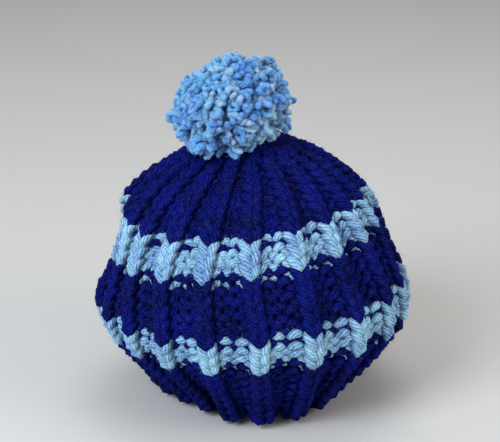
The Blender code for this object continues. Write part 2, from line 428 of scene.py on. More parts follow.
def loop_of_yarn(span, neighbours, t, middle, reach, ring_radius, tucks, rng):
    """One stitch: places along and across the cloth, depths in it and swells, as t makes a turn."""
    before, after = neighbours
    knit = span.sign == KNIT
    near_hem = max(0.0, 1.0 - middle / HEM_SCALLOP_REACH)
    swell = np.sin(t / 2.0) ** 2
    unevenness = rng.uniform(-LOOP_UNEVENNESS, LOOP_UNEVENNESS) * swell
    half_height = reach * (1.0 + unevenness)
    side, lift, into = (rng.uniform(-STITCH_JITTER, STITCH_JITTER) * swell for _ in range(3))
    start_blend = smoothstep(t / (0.5 * math.pi))
    end_blend = smoothstep((2.0 * math.pi - t) / (0.5 * math.pi))
    face = np.where(
        t < math.pi,
        joined_face(before.sign, span.sign) * (1.0 - start_blend) + span.sign * start_blend,
        joined_face(after.sign, span.sign) * (1.0 - end_blend) + span.sign * end_blend,
    )
    sunk = sunk_share(before.sink, span.sink, after.sink, t / (2.0 * math.pi))
    tucked = np.maximum(0.0, np.cos(t)) if tucks and not knit else 0.0

    lean = KNIT_LEAN + KNIT_SKEW * np.sin(t) if knit else PURL_LEAN
    share = t / (2.0 * math.pi) + lean * np.sin(2.0 * t)
    angles = span.left + (span.right - span.left) * share + np.degrees(side / ring_radius)
    scallop = HEM_SCALLOP * near_hem * (sunk - HEM_SCALLOP_LEVEL)
    arcs = middle + lift + scallop - half_height * np.cos(t) + TUCKED_UP * tucked
    loop_depth = LOOP_DEPTH if knit else PURL_FLATNESS * LOOP_DEPTH
    tilt = LOOP_TILT if knit else PURL_TILT
    loop = face * (loop_depth * np.cos(2.0 * t) - tilt * np.cos(t))
    flare = HEM_FLARE * near_hem ** 2 * (1.0 - sunk)
    depths = KNIT_DEPTH + furrow_depth(middle) * sunk + into + loop - flare + TUCKED_BACK * tucked
    leg = LEG_FULLNESS * np.sin(t) if knit else 0.0
    return arcs, angles, depths, YARN_SWELL * np.cos(4.0 * t) + KNIT_FULLNESS * face + leg


def furrow_depth(arc):
    """Depth of the furrows between the ribs; they ease off towards the crown."""
    eased = float(smoothstep((arc - CROWN_EASE_FROM) / CROWN_EASE_REACH))
    return PURL_SINK * (1.0 - CROWN_EASE * eased)


def joined_face(one, other):
    """How far the yarn between two stitches lies back: most of the way where knit meets purl."""
    return one if one == other else HIDDEN_JOIN


def sunk_share(before, own, after, share):
    """How far the loops' middle plane lies in the furrow between two ribs, from 0 on a rib to 1."""
    into = smoothstep(share / FURROW_SIDE)
    out = smoothstep((1.0 - share) / FURROW_SIDE)
    first = (before + own) / 2.0 * (1.0 - into) + own * into
    second = (after + own) / 2.0 * (1.0 - out) + own * out
    return np.where(share < 0.5, first, second)


def tilted(arcs, angles, facing):
    """The rows climb a little towards the handle."""
    across = facing * on_ring(RING_POINTS[:, 1], arcs) * np.sin(np.radians(angles))
    reach = across / STRIPE_RISE_REACH
    lift = STRIPE_RISE * reach * np.sin(math.pi * np.clip(arcs / CLOTH_LENGTH, 0.0, 1.0)) ** 2
    return arcs + lift + LIP_RISE * lip_share(angles, on_ring(RING_POINTS[:, 0], arcs), facing)


def band_yarn(band, wales, facing, slits, rng):
    """The whole yarn of a band, back and forth, with a turn at the panel's edge after each row."""
    pieces = []
    for row in range(band.rows):
        laid = row_path(band, row, wales, rng)
        if row % 2:
            laid = tuple(part[::-1] for part in laid)
        if pieces:
            pieces.append(edge_turn(pieces[-1], laid))
        pieces.append(laid)
    arcs, angles, depths, swells = (np.concatenate(parts) for parts in zip(*pieces))
    angles = drawn_in(arcs, angles, slits) + wander(arcs, angles, facing)
    arcs = tilted(arcs, angles, facing)
    points = on_cloth(arcs, angles, depths, facing, slits)
    outward = unit(on_cloth(arcs, angles, depths - OUTWARD_STEP, facing, slits) - points)
    points[:, 2] = np.maximum(points[:, 2], LOWEST_YARN)
    return points, YARN_RADIUS * (1.0 + swells), outward


def drawn_in(arcs, angles, slits):
    """Keeps the yarn's turns inside a slit's edge, and together where the panels are sewn."""
    height = on_ring(RING_POINTS[:, 0], arcs)
    openness = np.zeros(len(arcs))
    for side, slit in zip((-1.0, 1.0), slits):
        width = slit_half_width(slit, height) / (slit.half_width_mm * MM)
        openness = np.where(np.sign(angles) == side, smoothstep(SLIT_EDGE_EASE * width), openness)
    room = SEAM_ROOM + (EDGE_TURN + YARN_RADIUS - SEAM_ROOM) * openness
    margin = np.degrees(room / np.maximum(on_ring(RING_POINTS[:, 1], arcs), NARROWEST_RADIUS))
    return angles - np.sign(angles) * margin * np.abs(angles / PANEL_HALF_ANGLE) ** EDGE_FALLOFF


def wander(arcs, angles, facing):
    """The wales stray a little from straight lines, in degrees."""
    leaning = facing * TWIST * smoothstep((arcs - TWIST_FROM) / TWIST_REACH)
    strayed = np.empty(len(arcs))
    for i in range(len(arcs)):
        up, across = arcs[i] * WANDERS_PER_METRE, angles[i] * WANDERS_PER_DEGREE
        strayed[i] = noise.noise(Vector((up, across, WANDER_OF_PANEL * facing)))
    fade = smoothstep((PANEL_HALF_ANGLE - np.abs(angles)) / WANDER_EDGE)
    return fade * (leaning + strayed * np.degrees(WALE_WANDER / on_ring(RING_POINTS[:, 1], arcs)))


def edge_turn(row_below, row_above):
    """The half turn at the panel's edge that carries the yarn up to the next row."""
    t = np.arange(1, EDGE_TURN_STEPS + 1) / (EDGE_TURN_STEPS + 1.0)
    start = [part[-1] for part in row_below]
    end = [part[0] for part in row_above]
    radius = float(on_ring(RING_POINTS[:, 1], start[0]))
    bulge = math.copysign(math.degrees(EDGE_TURN / radius), start[1])
    arcs = start[0] + (end[0] - start[0]) * t
    angles = start[1] + (end[1] - start[1]) * t + bulge * np.sin(math.pi * t)
    depths = start[2] + (end[2] - start[2]) * t
    return arcs, angles, depths, np.zeros(EDGE_TURN_STEPS)


# ---------------------------------------------------------------- yarn

def node(tree, kind, inputs=None, **settings):
    """A new node, with each of its inputs given a value or linked to another node's output."""
    made = tree.nodes.new(kind)
    for name, value in settings.items():
        setattr(made, name, value)
    for socket, value in (inputs or {}).items():
        if isinstance(value, bpy.types.NodeSocket):
            tree.links.new(value, made.inputs[socket])
        else:
            made.inputs[socket].default_value = value
    return made


def maths(tree, operation, first, second=None):
    inputs = {0: first} if second is None else {0: first, 1: second}
    return node(tree, "ShaderNodeMath", inputs, operation=operation).outputs[0]


def add_sockets(group, way, kind, names):
    for name in names:
        group.interface.new_socket(name, in_out=way, socket_type="NodeSocket" + kind)


def stored(tree, geometry, name, value):
    inputs = {"Name": name, "Geometry": geometry, "Value": value}
    kept = node(tree, "GeometryNodeStoreNamedAttribute", inputs, data_type="FLOAT", domain="POINT")
    return kept.outputs[0]


def plied_yarn_tree():
    """Sweeps a twisted yarn of several plies along every chain of edges in a mesh."""
    tree = bpy.data.node_groups.new("plied_yarn", "GeometryNodeTree")
    add_sockets(tree, "INPUT", "Geometry", ("Paths",))
    add_sockets(tree, "INPUT", "Float", ("Ply depth", "Twist length", "Fuzz"))
    add_sockets(tree, "INPUT", "Float", ("Fibre length", "Fibre width"))
    add_sockets(tree, "INPUT", "Int", ("Plies", "Sides", "Seed"))
    add_sockets(tree, "INPUT", "Material", ("Yarn",))
    add_sockets(tree, "OUTPUT", "Geometry", ("Geometry",))
    given = node(tree, "NodeGroupInput").outputs

    curve = node(tree, "GeometryNodeMeshToCurve", {"Mesh": given["Paths"]}).outputs["Curve"]
    length = node(tree, "GeometryNodeSplineParameter").outputs["Length"]
    along = stored(tree, curve, "along", length)
    turns = maths(tree, "DIVIDE", length, given["Twist length"])
    twist = maths(tree, "MULTIPLY", turns, 2.0 * math.pi)
    twisted = node(tree, "GeometryNodeSetCurveTilt", {"Curve": along, "Tilt": twist})

    circle = node(tree, "GeometryNodeCurvePrimitiveCircle", {
        "Radius": 1.0,
        "Resolution": given["Sides"],
    }, mode="RADIUS")
    place = node(tree, "GeometryNodeInputPosition").outputs[0]
    parts = node(tree, "ShaderNodeSeparateXYZ", {0: place}).outputs
    profile = stored(tree, circle.outputs["Curve"], "round_x", parts["X"])
    profile = stored(tree, profile, "round_y", parts["Y"])
    angle = maths(tree, "ARCTAN2", parts["Y"], parts["X"])
    wave = maths(tree, "COSINE", maths(tree, "MULTIPLY", angle, given["Plies"]))
    size = maths(tree, "ADD", maths(tree, "MULTIPLY", wave, given["Ply depth"]), 1.0)
    scaled = node(tree, "ShaderNodeVectorMath", {0: place, "Scale": size}, operation="SCALE")
    lobes = node(tree, "GeometryNodeSetPosition", {
        "Geometry": profile,
        "Position": scaled.outputs[0],
    })

    thickness = node(tree, "GeometryNodeInputNamedAttribute", {
        "Name": "thickness",
    }, data_type="FLOAT")
    sweep = node(tree, "GeometryNodeCurveToMesh", {
        "Fill Caps": True,
        "Curve": twisted.outputs["Curve"],
        "Profile Curve": lobes.outputs["Geometry"],
        "Scale": thickness.outputs["Attribute"],
    })
    join = node(tree, "GeometryNodeJoinGeometry")
    for part in (fibre_nodes(tree, given, sweep.outputs["Mesh"]), sweep.outputs["Mesh"]):
        tree.links.new(part, join.inputs["Geometry"])
    smooth = node(tree, "GeometryNodeSetShadeSmooth", {"Geometry": join.outputs["Geometry"]})
    real = node(tree, "GeometryNodeRealizeInstances", {"Geometry": smooth.outputs["Geometry"]})
    paint = node(tree, "GeometryNodeSetMaterial", {
        "Geometry": real.outputs["Geometry"],
        "Material": given["Yarn"],
    })
    node(tree, "NodeGroupOutput", {"Geometry": paint.outputs["Geometry"]})
    return tree


def fibre_nodes(tree, given, surface):
    """Loose fibres that stand off the yarn: closed, pointed and with their root on its surface."""
    scatter = node(tree, "GeometryNodeDistributePointsOnFaces", {
        "Mesh": surface,
        "Density": given["Fuzz"],
        "Seed": given["Seed"],
    }, distribute_method="RANDOM").outputs
    spike = node(tree, "GeometryNodeMeshCone", {
        "Vertices": 3,
        "Radius Top": 0.0,
        "Radius Bottom": 0.5,
        "Depth": 1.0,
    }, fill_type="NGON")
    width = given["Fibre width"]
    scale = node(tree, "ShaderNodeCombineXYZ", {0: width, 1: width, 2: given["Fibre length"]})
    fibre = node(tree, "GeometryNodeTransform", {
        "Geometry": spike.outputs["Mesh"],
        "Scale": scale.outputs[0],
    })
    stray = node(tree, "FunctionNodeRandomValue", {
        "Min": (-1.0, -1.0, -1.0),
        "Max": (1.0, 1.0, 1.0),
        "Seed": given["Seed"],
    }, data_type="FLOAT_VECTOR")
    flat = node(tree, "ShaderNodeVectorMath", {0: scatter["Normal"], 1: stray.outputs[0]},
                operation="CROSS_PRODUCT")
    lean = node(tree, "ShaderNodeVectorMath", {
        0: scatter["Normal"],
        1: (FIBRE_RISE, FIBRE_RISE, FIBRE_RISE),
        2: flat.outputs[0],
    }, operation="MULTIPLY_ADD")
    turn = node(tree, "FunctionNodeAlignRotationToVector", {"Vector": lean.outputs[0]}, axis="Z")
    growth = node(tree, "FunctionNodeRandomValue", {
        2: FIBRE_GROWTH[0],
        3: FIBRE_GROWTH[1],
        "Seed": given["Seed"],
    }, data_type="FLOAT")
    grown = node(tree, "GeometryNodeInstanceOnPoints", {
        "Points": scatter["Points"],
        "Instance": fibre.outputs["Geometry"],
        "Rotation": turn.outputs["Rotation"],
        "Scale": growth.outputs[1],
    })
    real = node(tree, "GeometryNodeRealizeInstances", {"Geometry": grown.outputs["Instances"]})
    return real.outputs["Geometry"]


def path_mesh(name, paths, thicknesses, outwards):
    """Chains of edges, one for each path, with the yarn's radius and the way out on every point."""
    points = np.concatenate(paths)
    edges, start = [], 0
    for path in paths:
        numbers = np.arange(start, start + len(path) - 1)
        edges.append(np.stack([numbers, numbers + 1], axis=1))
        start += len(path)
    mesh = bpy.data.meshes.new(name)
    mesh.from_pydata(points.tolist(), np.concatenate(edges).tolist(), [])
    radius = mesh.attributes.new("thickness", "FLOAT", "POINT")
    radius.data.foreach_set("value", np.concatenate(thicknesses).astype(np.float32))
    set_outward(mesh, np.concatenate(outwards))
    return mesh


def set_outward(mesh, directions):
    """The way out of the cloth at every point, for the painted shade in the cloth's crevices:
    shorter where a point lies deeper in the yarn, which paints it darker.
    """
    outward = mesh.attributes.new("outward", "FLOAT_VECTOR", "POINT")
    outward.data.foreach_set("vector", directions.astype(np.float32).ravel())


def keep_above_floor(mesh):
    places = np.empty(3 * len(mesh.vertices), dtype=np.float32)
    mesh.vertices.foreach_get("co", places)
    places[2::3] = np.maximum(places[2::3], FLOOR_CLEARANCE)
    mesh.vertices.foreach_set("co", places)


def placed(name, data):
    """A new object in the scene."""
    made = bpy.data.objects.new(name, data)
    bpy.context.scene.collection.objects.link(made)
    return made


def spin_yarn(name, tree, paths, thicknesses, outwards, material,
              sides=YARN_SIDES, fuzz=FUZZ, pales=None):
    """A plain mesh of yarn laid along the paths; pales says how far each point is drawn paler,
    towards the hair colour.
    """
    source = placed(name + "_paths", path_mesh(name + "_paths", paths, thicknesses, outwards))
    if pales is not None:
        pale = source.data.attributes.new("pale", "FLOAT", "POINT")
        pale.data.foreach_set("value", np.concatenate(pales).astype(np.float32))
    modifier = source.modifiers.new("yarn", "NODES")
    modifier.node_group = tree
    values = {
        "Ply depth": PLY_DEPTH,
        "Twist length": TWIST_LENGTH,
        "Plies": PLIES,
        "Sides": sides,
        "Fuzz": fuzz,
        "Fibre length": FIBRE_LENGTH,
        "Fibre width": FIBRE_WIDTH,
        "Seed": SEED,
        "Yarn": material,
    }
    for item in tree.interface.items_tree:
        if item.item_type == "SOCKET" and item.in_out == "INPUT" and item.name in values:
            modifier[item.identifier] = values[item.name]
    bpy.context.view_layer.update()
    depsgraph = bpy.context.evaluated_depsgraph_get()
    mesh = bpy.data.meshes.new_from_object(source.evaluated_get(depsgraph))
    mesh.name = name
    keep_above_floor(mesh)
    bpy.data.objects.remove(source, do_unlink=True)
    return placed(name, mesh)


# ---------------------------------------------------------------- materials

# A yarn's darkest colour, for the painted shade in its ply grooves and its darker random tones; its
# colour on its plies; and the colour of its loose hair, lighter than the yarn as a painted
# highlight, which also paints the glint on ply crests and pale strands. Then how much of that hair
# it has, its sheen, how dark the painted shade in its grooves is, how its tone varies, its shine,
# how dark the painted shade in the cloth's crevices is and how much light passes through it.
YarnLook = namedtuple(
    "YarnLook", "dark light hair hairiness sheen groove variation shine depth softness")
YARN_LOOKS = {
    "royal": YarnLook(
        dark=(0.0001, 0.0004, 0.018), light=(0.0020, 0.0050, 0.198), hair=(0.038, 0.056, 0.255),
        hairiness=0.36, sheen=0.008, groove=0.36, variation=2.0,
        shine=0.02, depth=0.58, softness=0.0,
    ),
    "sky": YarnLook(
        dark=(0.018, 0.130, 0.480), light=(0.370, 0.765, 0.980), hair=(0.800, 0.950, 0.999),
        hairiness=0.34, sheen=0.07, groove=0.45, variation=1.8,
        shine=0.35, depth=0.62, softness=0.0,
    ),
    "pompom": YarnLook(
        dark=(0.010, 0.160, 0.800), light=(0.130, 0.510, 0.999), hair=(0.740, 0.910, 0.999),
        hairiness=0.30, sheen=0.12, groove=0.26, variation=1.8,
        shine=0.18, depth=0.28, softness=0.60,
    ),
}
SHEEN_ROUGHNESS = 0.35
SHEEN_PALENESS = 0.25
LIGHT_REACH = 4.0 * MM
LIGHT_REACH_OF_COLOURS = (0.5, 0.8, 1.0)
BUMP_STRENGTH = 0.8
BUMP_HEIGHT = 0.6 * MM

# Fine plies that are only shaded, and how far they wobble.
FINE_PLIES = 7
FINE_TWIST = 16.0 * MM
PLY_WOBBLE = 8.0
WOBBLES_PER_METRE = 160.0
GROOVE_NARROWNESS = 3.0
# Fibres that run along the yarn, slow changes of tone and the tone of a plain place.
FIBRES_PER_METRE = 90.0
FIBRE_SCALE = 5.0
FIBRE_ROUGHNESS = 0.65
TONES_PER_METRE = 55.0
MIDDLE_TONE = 0.66
# Curled hairs: scale and pattern of each layer, and how wide a hair is in the noise.
HAIR_LAYERS = ((270.0, 0.0), (430.0, 7.0))
HAIR_CURL = 1.2
HAIR_WIDTH = 0.045
# A painted glint on the plies' crests, in the hair colour: how strong it is and how narrow.
GLINT = 0.7
GLINT_NARROWNESS = 3.0
# Painted shade in crevices: how far a surface faces out of the cloth when it lies in one and gets
# the full painted shade, and in the open, where it gets none.
CREVICE, OPEN = -0.1, 0.85
GROOVE_HEIGHT = 1.2
HAIR_HEIGHT = 0.5
SMOOTHEST = 0.62
ROUGHNESS_SPREAD = 0.25


def eased(tree, value, start, end, low, high):
    """A value that goes smoothly from low to high while another goes from start to end."""
    return node(tree, "ShaderNodeMapRange", {
        "Value": value,
        "From Min": start,
        "From Max": end,
        "To Min": low,
        "To Max": high,
    }, interpolation_type="SMOOTHSTEP").outputs["Result"]


def blended(tree, share, first, second):
    mix = node(tree, "ShaderNodeMix", {"Factor": share, 6: first, 7: second},
               data_type="RGBA", clamp_factor=True)
    return mix.outputs[2]


def noise_of(tree, place, dimensions, **inputs):
    texture = node(tree, "ShaderNodeTexNoise", inputs, noise_dimensions=dimensions)
    tree.links.new(place, texture.inputs["Vector"])
    return texture.outputs[0]


def attribute_of(tree, name, output):
    made = node(tree, "ShaderNodeAttribute", attribute_type="GEOMETRY", attribute_name=name)
    return made.outputs[output]


def curled_hairs(tree, place):
    """1 on thin curled lines over the yarn, and 0 between them."""
    hair = None
    for scale, layer in HAIR_LAYERS:
        curls = noise_of(tree, place, "4D", Scale=scale, W=layer, Detail=1.0, Distortion=HAIR_CURL)
        away = maths(tree, "ABSOLUTE", maths(tree, "SUBTRACT", curls, 0.5))
        thin = eased(tree, away, 0.0, HAIR_WIDTH, 1.0, 0.0)
        hair = thin if hair is None else maths(tree, "MAXIMUM", hair, thin)
    return hair


def yarn_surface_group():
    """Fibres along the plies, painted shade in the grooves between them and in the cloth's
    crevices, curled hairs and a glint on the plies' crests drawn lighter as painted highlights, and
    slow changes of tone.
    """
    group = bpy.data.node_groups.new("yarn_surface", "ShaderNodeTree")
    add_sockets(group, "INPUT", "Color", ("Dark", "Light", "Hair"))
    # Groove and Depth set how dark the painted shade is in the ply grooves and in the cloth's
    # crevices.
    add_sockets(group, "INPUT", "Float", ("Groove", "Variation", "Hairiness", "Depth"))
    add_sockets(group, "OUTPUT", "Color", ("Colour",))
    add_sockets(group, "OUTPUT", "Float", ("Height", "Roughness"))
    given = node(group, "NodeGroupInput").outputs
    place = node(group, "ShaderNodeTexCoord").outputs["Object"]
    along, round_x, round_y = (
        attribute_of(group, name, "Fac") for name in ("along", "round_x", "round_y")
    )

    twist = maths(group, "MULTIPLY", along, 2.0 * math.pi / FINE_TWIST)
    angle = maths(group, "ADD", maths(group, "ARCTAN2", round_y, round_x), twist)
    on_yarn = node(group, "ShaderNodeCombineXYZ", {
        0: maths(group, "COSINE", angle),
        1: maths(group, "SINE", angle),
        2: maths(group, "MULTIPLY", along, FIBRES_PER_METRE),
    }).outputs[0]
    fibres = noise_of(
        group, on_yarn, "3D", Scale=FIBRE_SCALE, Detail=4.0, Roughness=FIBRE_ROUGHNESS)
    wobble = noise_of(group, place, "3D", Scale=WOBBLES_PER_METRE, Detail=2.0)
    phase = maths(group, "MULTIPLY", maths(group, "SUBTRACT", wobble, 0.5), PLY_WOBBLE)
    turns = maths(group, "ADD", maths(group, "MULTIPLY", angle, float(FINE_PLIES)), phase)
    crest = maths(group, "ADD", 0.5, maths(group, "MULTIPLY", maths(group, "COSINE", turns), 0.5))
    groove = maths(group, "POWER", maths(group, "SUBTRACT", 1.0, crest), GROOVE_NARROWNESS)
    slow = noise_of(group, place, "3D", Scale=TONES_PER_METRE, Detail=4.0)

    # Painted shade: the colour darkens where the surface faces away from the way out of the cloth,
    # as in crevices between loops and deep in the pompom.
    facing = node(group, "ShaderNodeVectorMath", {
        0: attribute_of(group, "outward", "Vector"),
        1: node(group, "ShaderNodeNewGeometry").outputs["Normal"],
    }, operation="DOT_PRODUCT").outputs["Value"]
    in_crevice = maths(group, "SUBTRACT", 1.0, given["Depth"])
    light_share = eased(group, facing, CREVICE, OPEN, in_crevice, 1.0)

    # Painted shade in the grooves between the plies, varied with the fibres; the fibres and the
    # slow noise also change the tone at random.
    painted_groove_shade = maths(group, "MULTIPLY", groove, maths(group, "MULTIPLY", fibres, 2.0))
    tone = maths(group, "SUBTRACT", MIDDLE_TONE, maths(group, "MULTIPLY", painted_groove_shade, given["Groove"]))
    for noisy in (fibres, slow):
        swing = maths(group, "MULTIPLY", maths(group, "SUBTRACT", noisy, 0.5), given["Variation"])
        tone = maths(group, "ADD", tone, swing)
    # A painted glint on the plies' crests, joined with the curled hairs; the hairs are real loose
    # fibres, but both are drawn in the hair colour, lighter than the yarn as a painted highlight.
    glint = maths(group, "MULTIPLY", maths(group, "POWER", crest, GLINT_NARROWNESS), fibres)
    glint = maths(group, "MULTIPLY", glint, GLINT)
    hair = maths(group, "MAXIMUM", curled_hairs(group, place), glint)
    hair_and_glint = maths(group, "MULTIPLY", hair, given["Hairiness"])

    colour = blended(group, tone, given["Dark"], given["Light"])
    colour = blended(group, hair_and_glint, colour, given["Hair"])
    # Pale strands of the pompom: a random paler tone, partly a painted highlight.
    colour = blended(group, attribute_of(group, "pale", "Fac"), colour, given["Hair"])
    shaded = node(group, "ShaderNodeVectorMath", {
        0: colour,
        "Scale": light_share,
    }, operation="SCALE")
    height = maths(group, "SUBTRACT", fibres, maths(group, "MULTIPLY", groove, GROOVE_HEIGHT))
    height = maths(group, "ADD", height, maths(group, "MULTIPLY", hair, HAIR_HEIGHT))
    rough = maths(group, "ADD", maths(group, "MULTIPLY", fibres, ROUGHNESS_SPREAD), SMOOTHEST)
    node(group, "NodeGroupOutput", {
        "Colour": shaded.outputs[0],
        "Height": height,
        "Roughness": rough,
    })
    return group


def yarn_material(name, group, look):
    material = bpy.data.materials.new(name)
    material.use_nodes = True
    tree = material.node_tree
    surface = node(tree, "ShaderNodeGroup", node_tree=group)
    for socket in ("Dark", "Light", "Hair"):
        surface.inputs[socket].default_value = (*getattr(look, socket.lower()), 1.0)
    for socket in ("Groove", "Variation", "Hairiness", "Depth"):
        surface.inputs[socket].default_value = getattr(look, socket.lower())
    bump = node(tree, "ShaderNodeBump", {
        "Strength": BUMP_STRENGTH,
        "Distance": BUMP_HEIGHT,
        "Height": surface.outputs["Height"],
    })
    shader = tree.nodes["Principled BSDF"]
    for socket, output in (
        ("Base Color", surface.outputs["Colour"]),
        ("Roughness", surface.outputs["Roughness"]),
        ("Normal", bump.outputs["Normal"]),
    ):
        tree.links.new(output, shader.inputs[socket])
    for socket, value in (
        ("Sheen Weight", look.sheen),
        ("Sheen Roughness", SHEEN_ROUGHNESS),
        ("Sheen Tint", (*[c ** SHEEN_PALENESS for c in look.light], 1.0)),
        ("Specular IOR Level", look.shine),
        ("Subsurface Weight", look.softness),
        ("Subsurface Scale", LIGHT_REACH),
        ("Subsurface Radius", LIGHT_REACH_OF_COLOURS),
    ):
        shader.inputs[socket].default_value = value
    return material


# ---------------------------------------------------------------- pieces

Panel = namedtuple("Panel", "name node wales facing slits")
PANELS = (
    Panel("front", "front_panel", FRONT_WALES, 1.0, (SPOUT_SLIT, HANDLE_SLIT)),
    Panel("back", "back_panel", BACK_WALES, -1.0, (HANDLE_SLIT, SPOUT_SLIT)),
)


def knit_bands(tree, yarns):
    rng = random.Random(SEED)
    for panel in PANELS:
        for band in BANDS:
            points, radii, outward = band_yarn(band, panel.wales, panel.facing, panel.slits, rng)
            name = f"{panel.name}_{band.name}"
            piece = spin_yarn(name, tree, [points], [radii], [outward], yarns[band.yarn])
            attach(piece, "root")
            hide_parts(panel.node)
        add_web(panel, yarns)


def web_depth(angle, arc, wales):
    """Depth of the web: it follows the ribs a little behind the middle of the loops."""
    edges = rib_edges(wales)
    ring_radius = float(on_ring(RING_POINTS[:, 1], arc))
    knit_share = knit_share_at(ring_radius, wales)
    rib = max(0, min(len(edges) - 2, int(np.searchsorted(edges, angle)) - 1))
    across = (angle - edges[rib]) / (edges[rib + 1] - edges[rib])
    marks = (0.0, knit_share, knit_share + WEB_FURROW_START, WEB_FURROW_END, 1.0)
    sunk = np.interp(across, marks, WEB_SINKS)
    on_rib = max(0.0, 1.0 - abs(across / knit_share - 0.5) * 2.0)
    sunk = max(0.0, sunk - WEB_RIB_RISE * on_rib)
    return KNIT_DEPTH + WEB_DEPTH + furrow_depth(arc) * float(sunk)


def web_layer(panel, arcs, angles, side):
    """Points of one face of the web, row by row."""
    points = []
    for arc in arcs:
        middle = np.array([web_depth(angle, arc, panel.wales) for angle in angles])
        depths = middle + side * WEB_THICKNESS
        line = np.full(len(angles), arc)
        strayed = drawn_in(line, angles, panel.slits) + wander(line, angles, panel.facing)
        raised = tilted(line, angles, panel.facing)
        points.append(on_cloth(raised, strayed, depths, panel.facing, panel.slits))
    return np.concatenate(points)


def web_faces(rows, columns):
    """Faces of the web's outer side, its inner side and the rim between them."""
    count = rows * columns
    outer, inner = [], []
    for row in range(rows - 1):
        for column in range(columns - 1):
            first = row * columns + column
            quad = (first, first + 1, first + columns + 1, first + columns)
            outer.append(quad)
            inner.append(tuple(count + corner for corner in reversed(quad)))
    border = list(range(columns))
    border += [row * columns + columns - 1 for row in range(1, rows)]
    border += [(rows - 1) * columns + column for column in range(columns - 2, -1, -1)]
    border += [row * columns for row in range(rows - 2, 0, -1)]
    rim = []
    for here, there in zip(border, border[1:] + border[:1]):
        rim.append((here, here + count, there + count, there))
    return outer, inner, rim


def add_web(panel, yarns):
    """The fibres that fill the cloth between the loops, as one thin sheet."""
    rows, columns = WEB_STEPS
    arcs = np.linspace(WEB_HEM, CLOTH_LENGTH - WEB_CROWN, rows)
    angles = np.linspace(-PANEL_HALF_ANGLE + WEB_EDGE, PANEL_HALF_ANGLE - WEB_EDGE, columns)
    layers = [web_layer(panel, arcs, angles, side) for side in (-0.5, 0.5)]
    outer, inner, rim = web_faces(rows, columns)
    mesh = bpy.data.meshes.new(f"{panel.name}_web")
    mesh.from_pydata(np.concatenate(layers).tolist(), [], outer + inner + rim)
    ways_out = unit(layers[0] - layers[1])
    set_outward(mesh, np.concatenate([ways_out, -ways_out]))
    mesh.materials.append(yarns["royal"])
    mesh.materials.append(yarns["sky"])
    side_colours = []
    for arc in (arcs[:-1] + arcs[1:]) / 2.0:
        side_colours += [1 if yarn_at(arc) == "sky" else 0] * (columns - 1)
    mesh.polygons.foreach_set("material_index", side_colours + side_colours + [0] * len(rim))
    mesh.shade_smooth()
    web = placed(f"{panel.name}_web", mesh)
    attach(web, "root")
    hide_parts(panel.node)


def yarn_at(arc):
    """The yarn of the band at a place along the cloth."""
    found = "royal"
    for band in BANDS:
        if arc > (band.first_mm - band.pitch_mm / 2.0) * MM:
            found = band.yarn
    return found


# ---------------------------------------------------------------- pompom

def crown_height(x, y):
    """Height of the crown under a point."""
    away = math.hypot(x - CROWN_LEAN - CENTRING[0], y - CENTRING[1])
    crown = RING_POINTS[-CROWN_SAMPLES:]
    crown = crown[np.argsort(crown[:, 1])]
    return float(np.interp(away, crown[:, 1], crown[:, 0]))


def strand_reach(direction, rng, stretch):
    """How far out of the pompom's middle a strand is cut."""
    small = SMALL_LUMP * noise.noise(direction * SMALL_LUMPS_AROUND)
    swell = 1.0 + small + rng.uniform(*STRAND_REACH_SPREAD)
    for lump, size in POMPOM_LUMPS:
        swell += size * max(0.0, direction.dot(Vector(lump).normalized())) ** LUMP_SHARPNESS
    return POMPOM_RADIUS * swell * stretch


def strand_path(direction, rng, stretch):
    """One curled strand, from inside the pompom out to its blunt tip."""
    side = direction.orthogonal().normalized()
    other = direction.cross(side)
    swing = rng.uniform(0.0, 2.0 * math.pi)
    bend = (side * math.cos(swing) + other * math.sin(swing)) * rng.uniform(*STRAND_BEND_SPREAD)
    curl_start = rng.uniform(0.0, 2.0 * math.pi)
    curl_turns = rng.uniform(*STRAND_CURL_TURNS) * rng.choice((-1.0, 1.0))
    curl = STRAND_CURL * rng.uniform(*STRAND_CURL_SPREAD)
    reach = strand_reach(direction, rng, stretch)
    points = []
    for step in range(STRAND_POINTS):
        last = step + 1 == STRAND_POINTS
        t = 1.0 if last else STRAND_TIP_START * step / (STRAND_POINTS - 2)
        outward = STRAND_START + (reach - STRAND_START) * t
        phase = curl_start + 2.0 * math.pi * curl_turns * t
        around = (side * math.cos(phase) + other * math.sin(phase)) * curl * t ** 0.5
        sideways = bend * (reach - STRAND_START) * STRAND_BEND * t ** 2
        place = direction * outward + sideways + around
        place.z = place.z * POMPOM_FLATTENING - STRAND_DROOP * t ** 2
        place.x += POMPOM_LEAN * max(0.0, place.z)
        place += Vector(POMPOM_MIDDLE)
        floor = crown_height(place.x, place.y) + STRAND_RADIUS + STRAND_CLEARANCE
        place.z = max(place.z, floor)
        points.append(place)
    return np.array(points)


def strand_directions(rng):
    """Ways that the strands point, spread evenly and then strewn a little."""
    golden = math.pi * (3.0 - math.sqrt(5.0))
    directions = []
    for strand in range(POMPOM_STRANDS):
        up = 1.0 - (1.0 - LOWEST_STRAND) * (strand + 0.5) / POMPOM_STRANDS
        level = math.sqrt(1.0 - up * up)
        around = golden * strand
        direction = Vector((level * math.cos(around), level * math.sin(around), up))
        for axis in range(3):
            direction[axis] += rng.uniform(-STRAND_SPREAD, STRAND_SPREAD)
        directions.append(direction)
    return directions


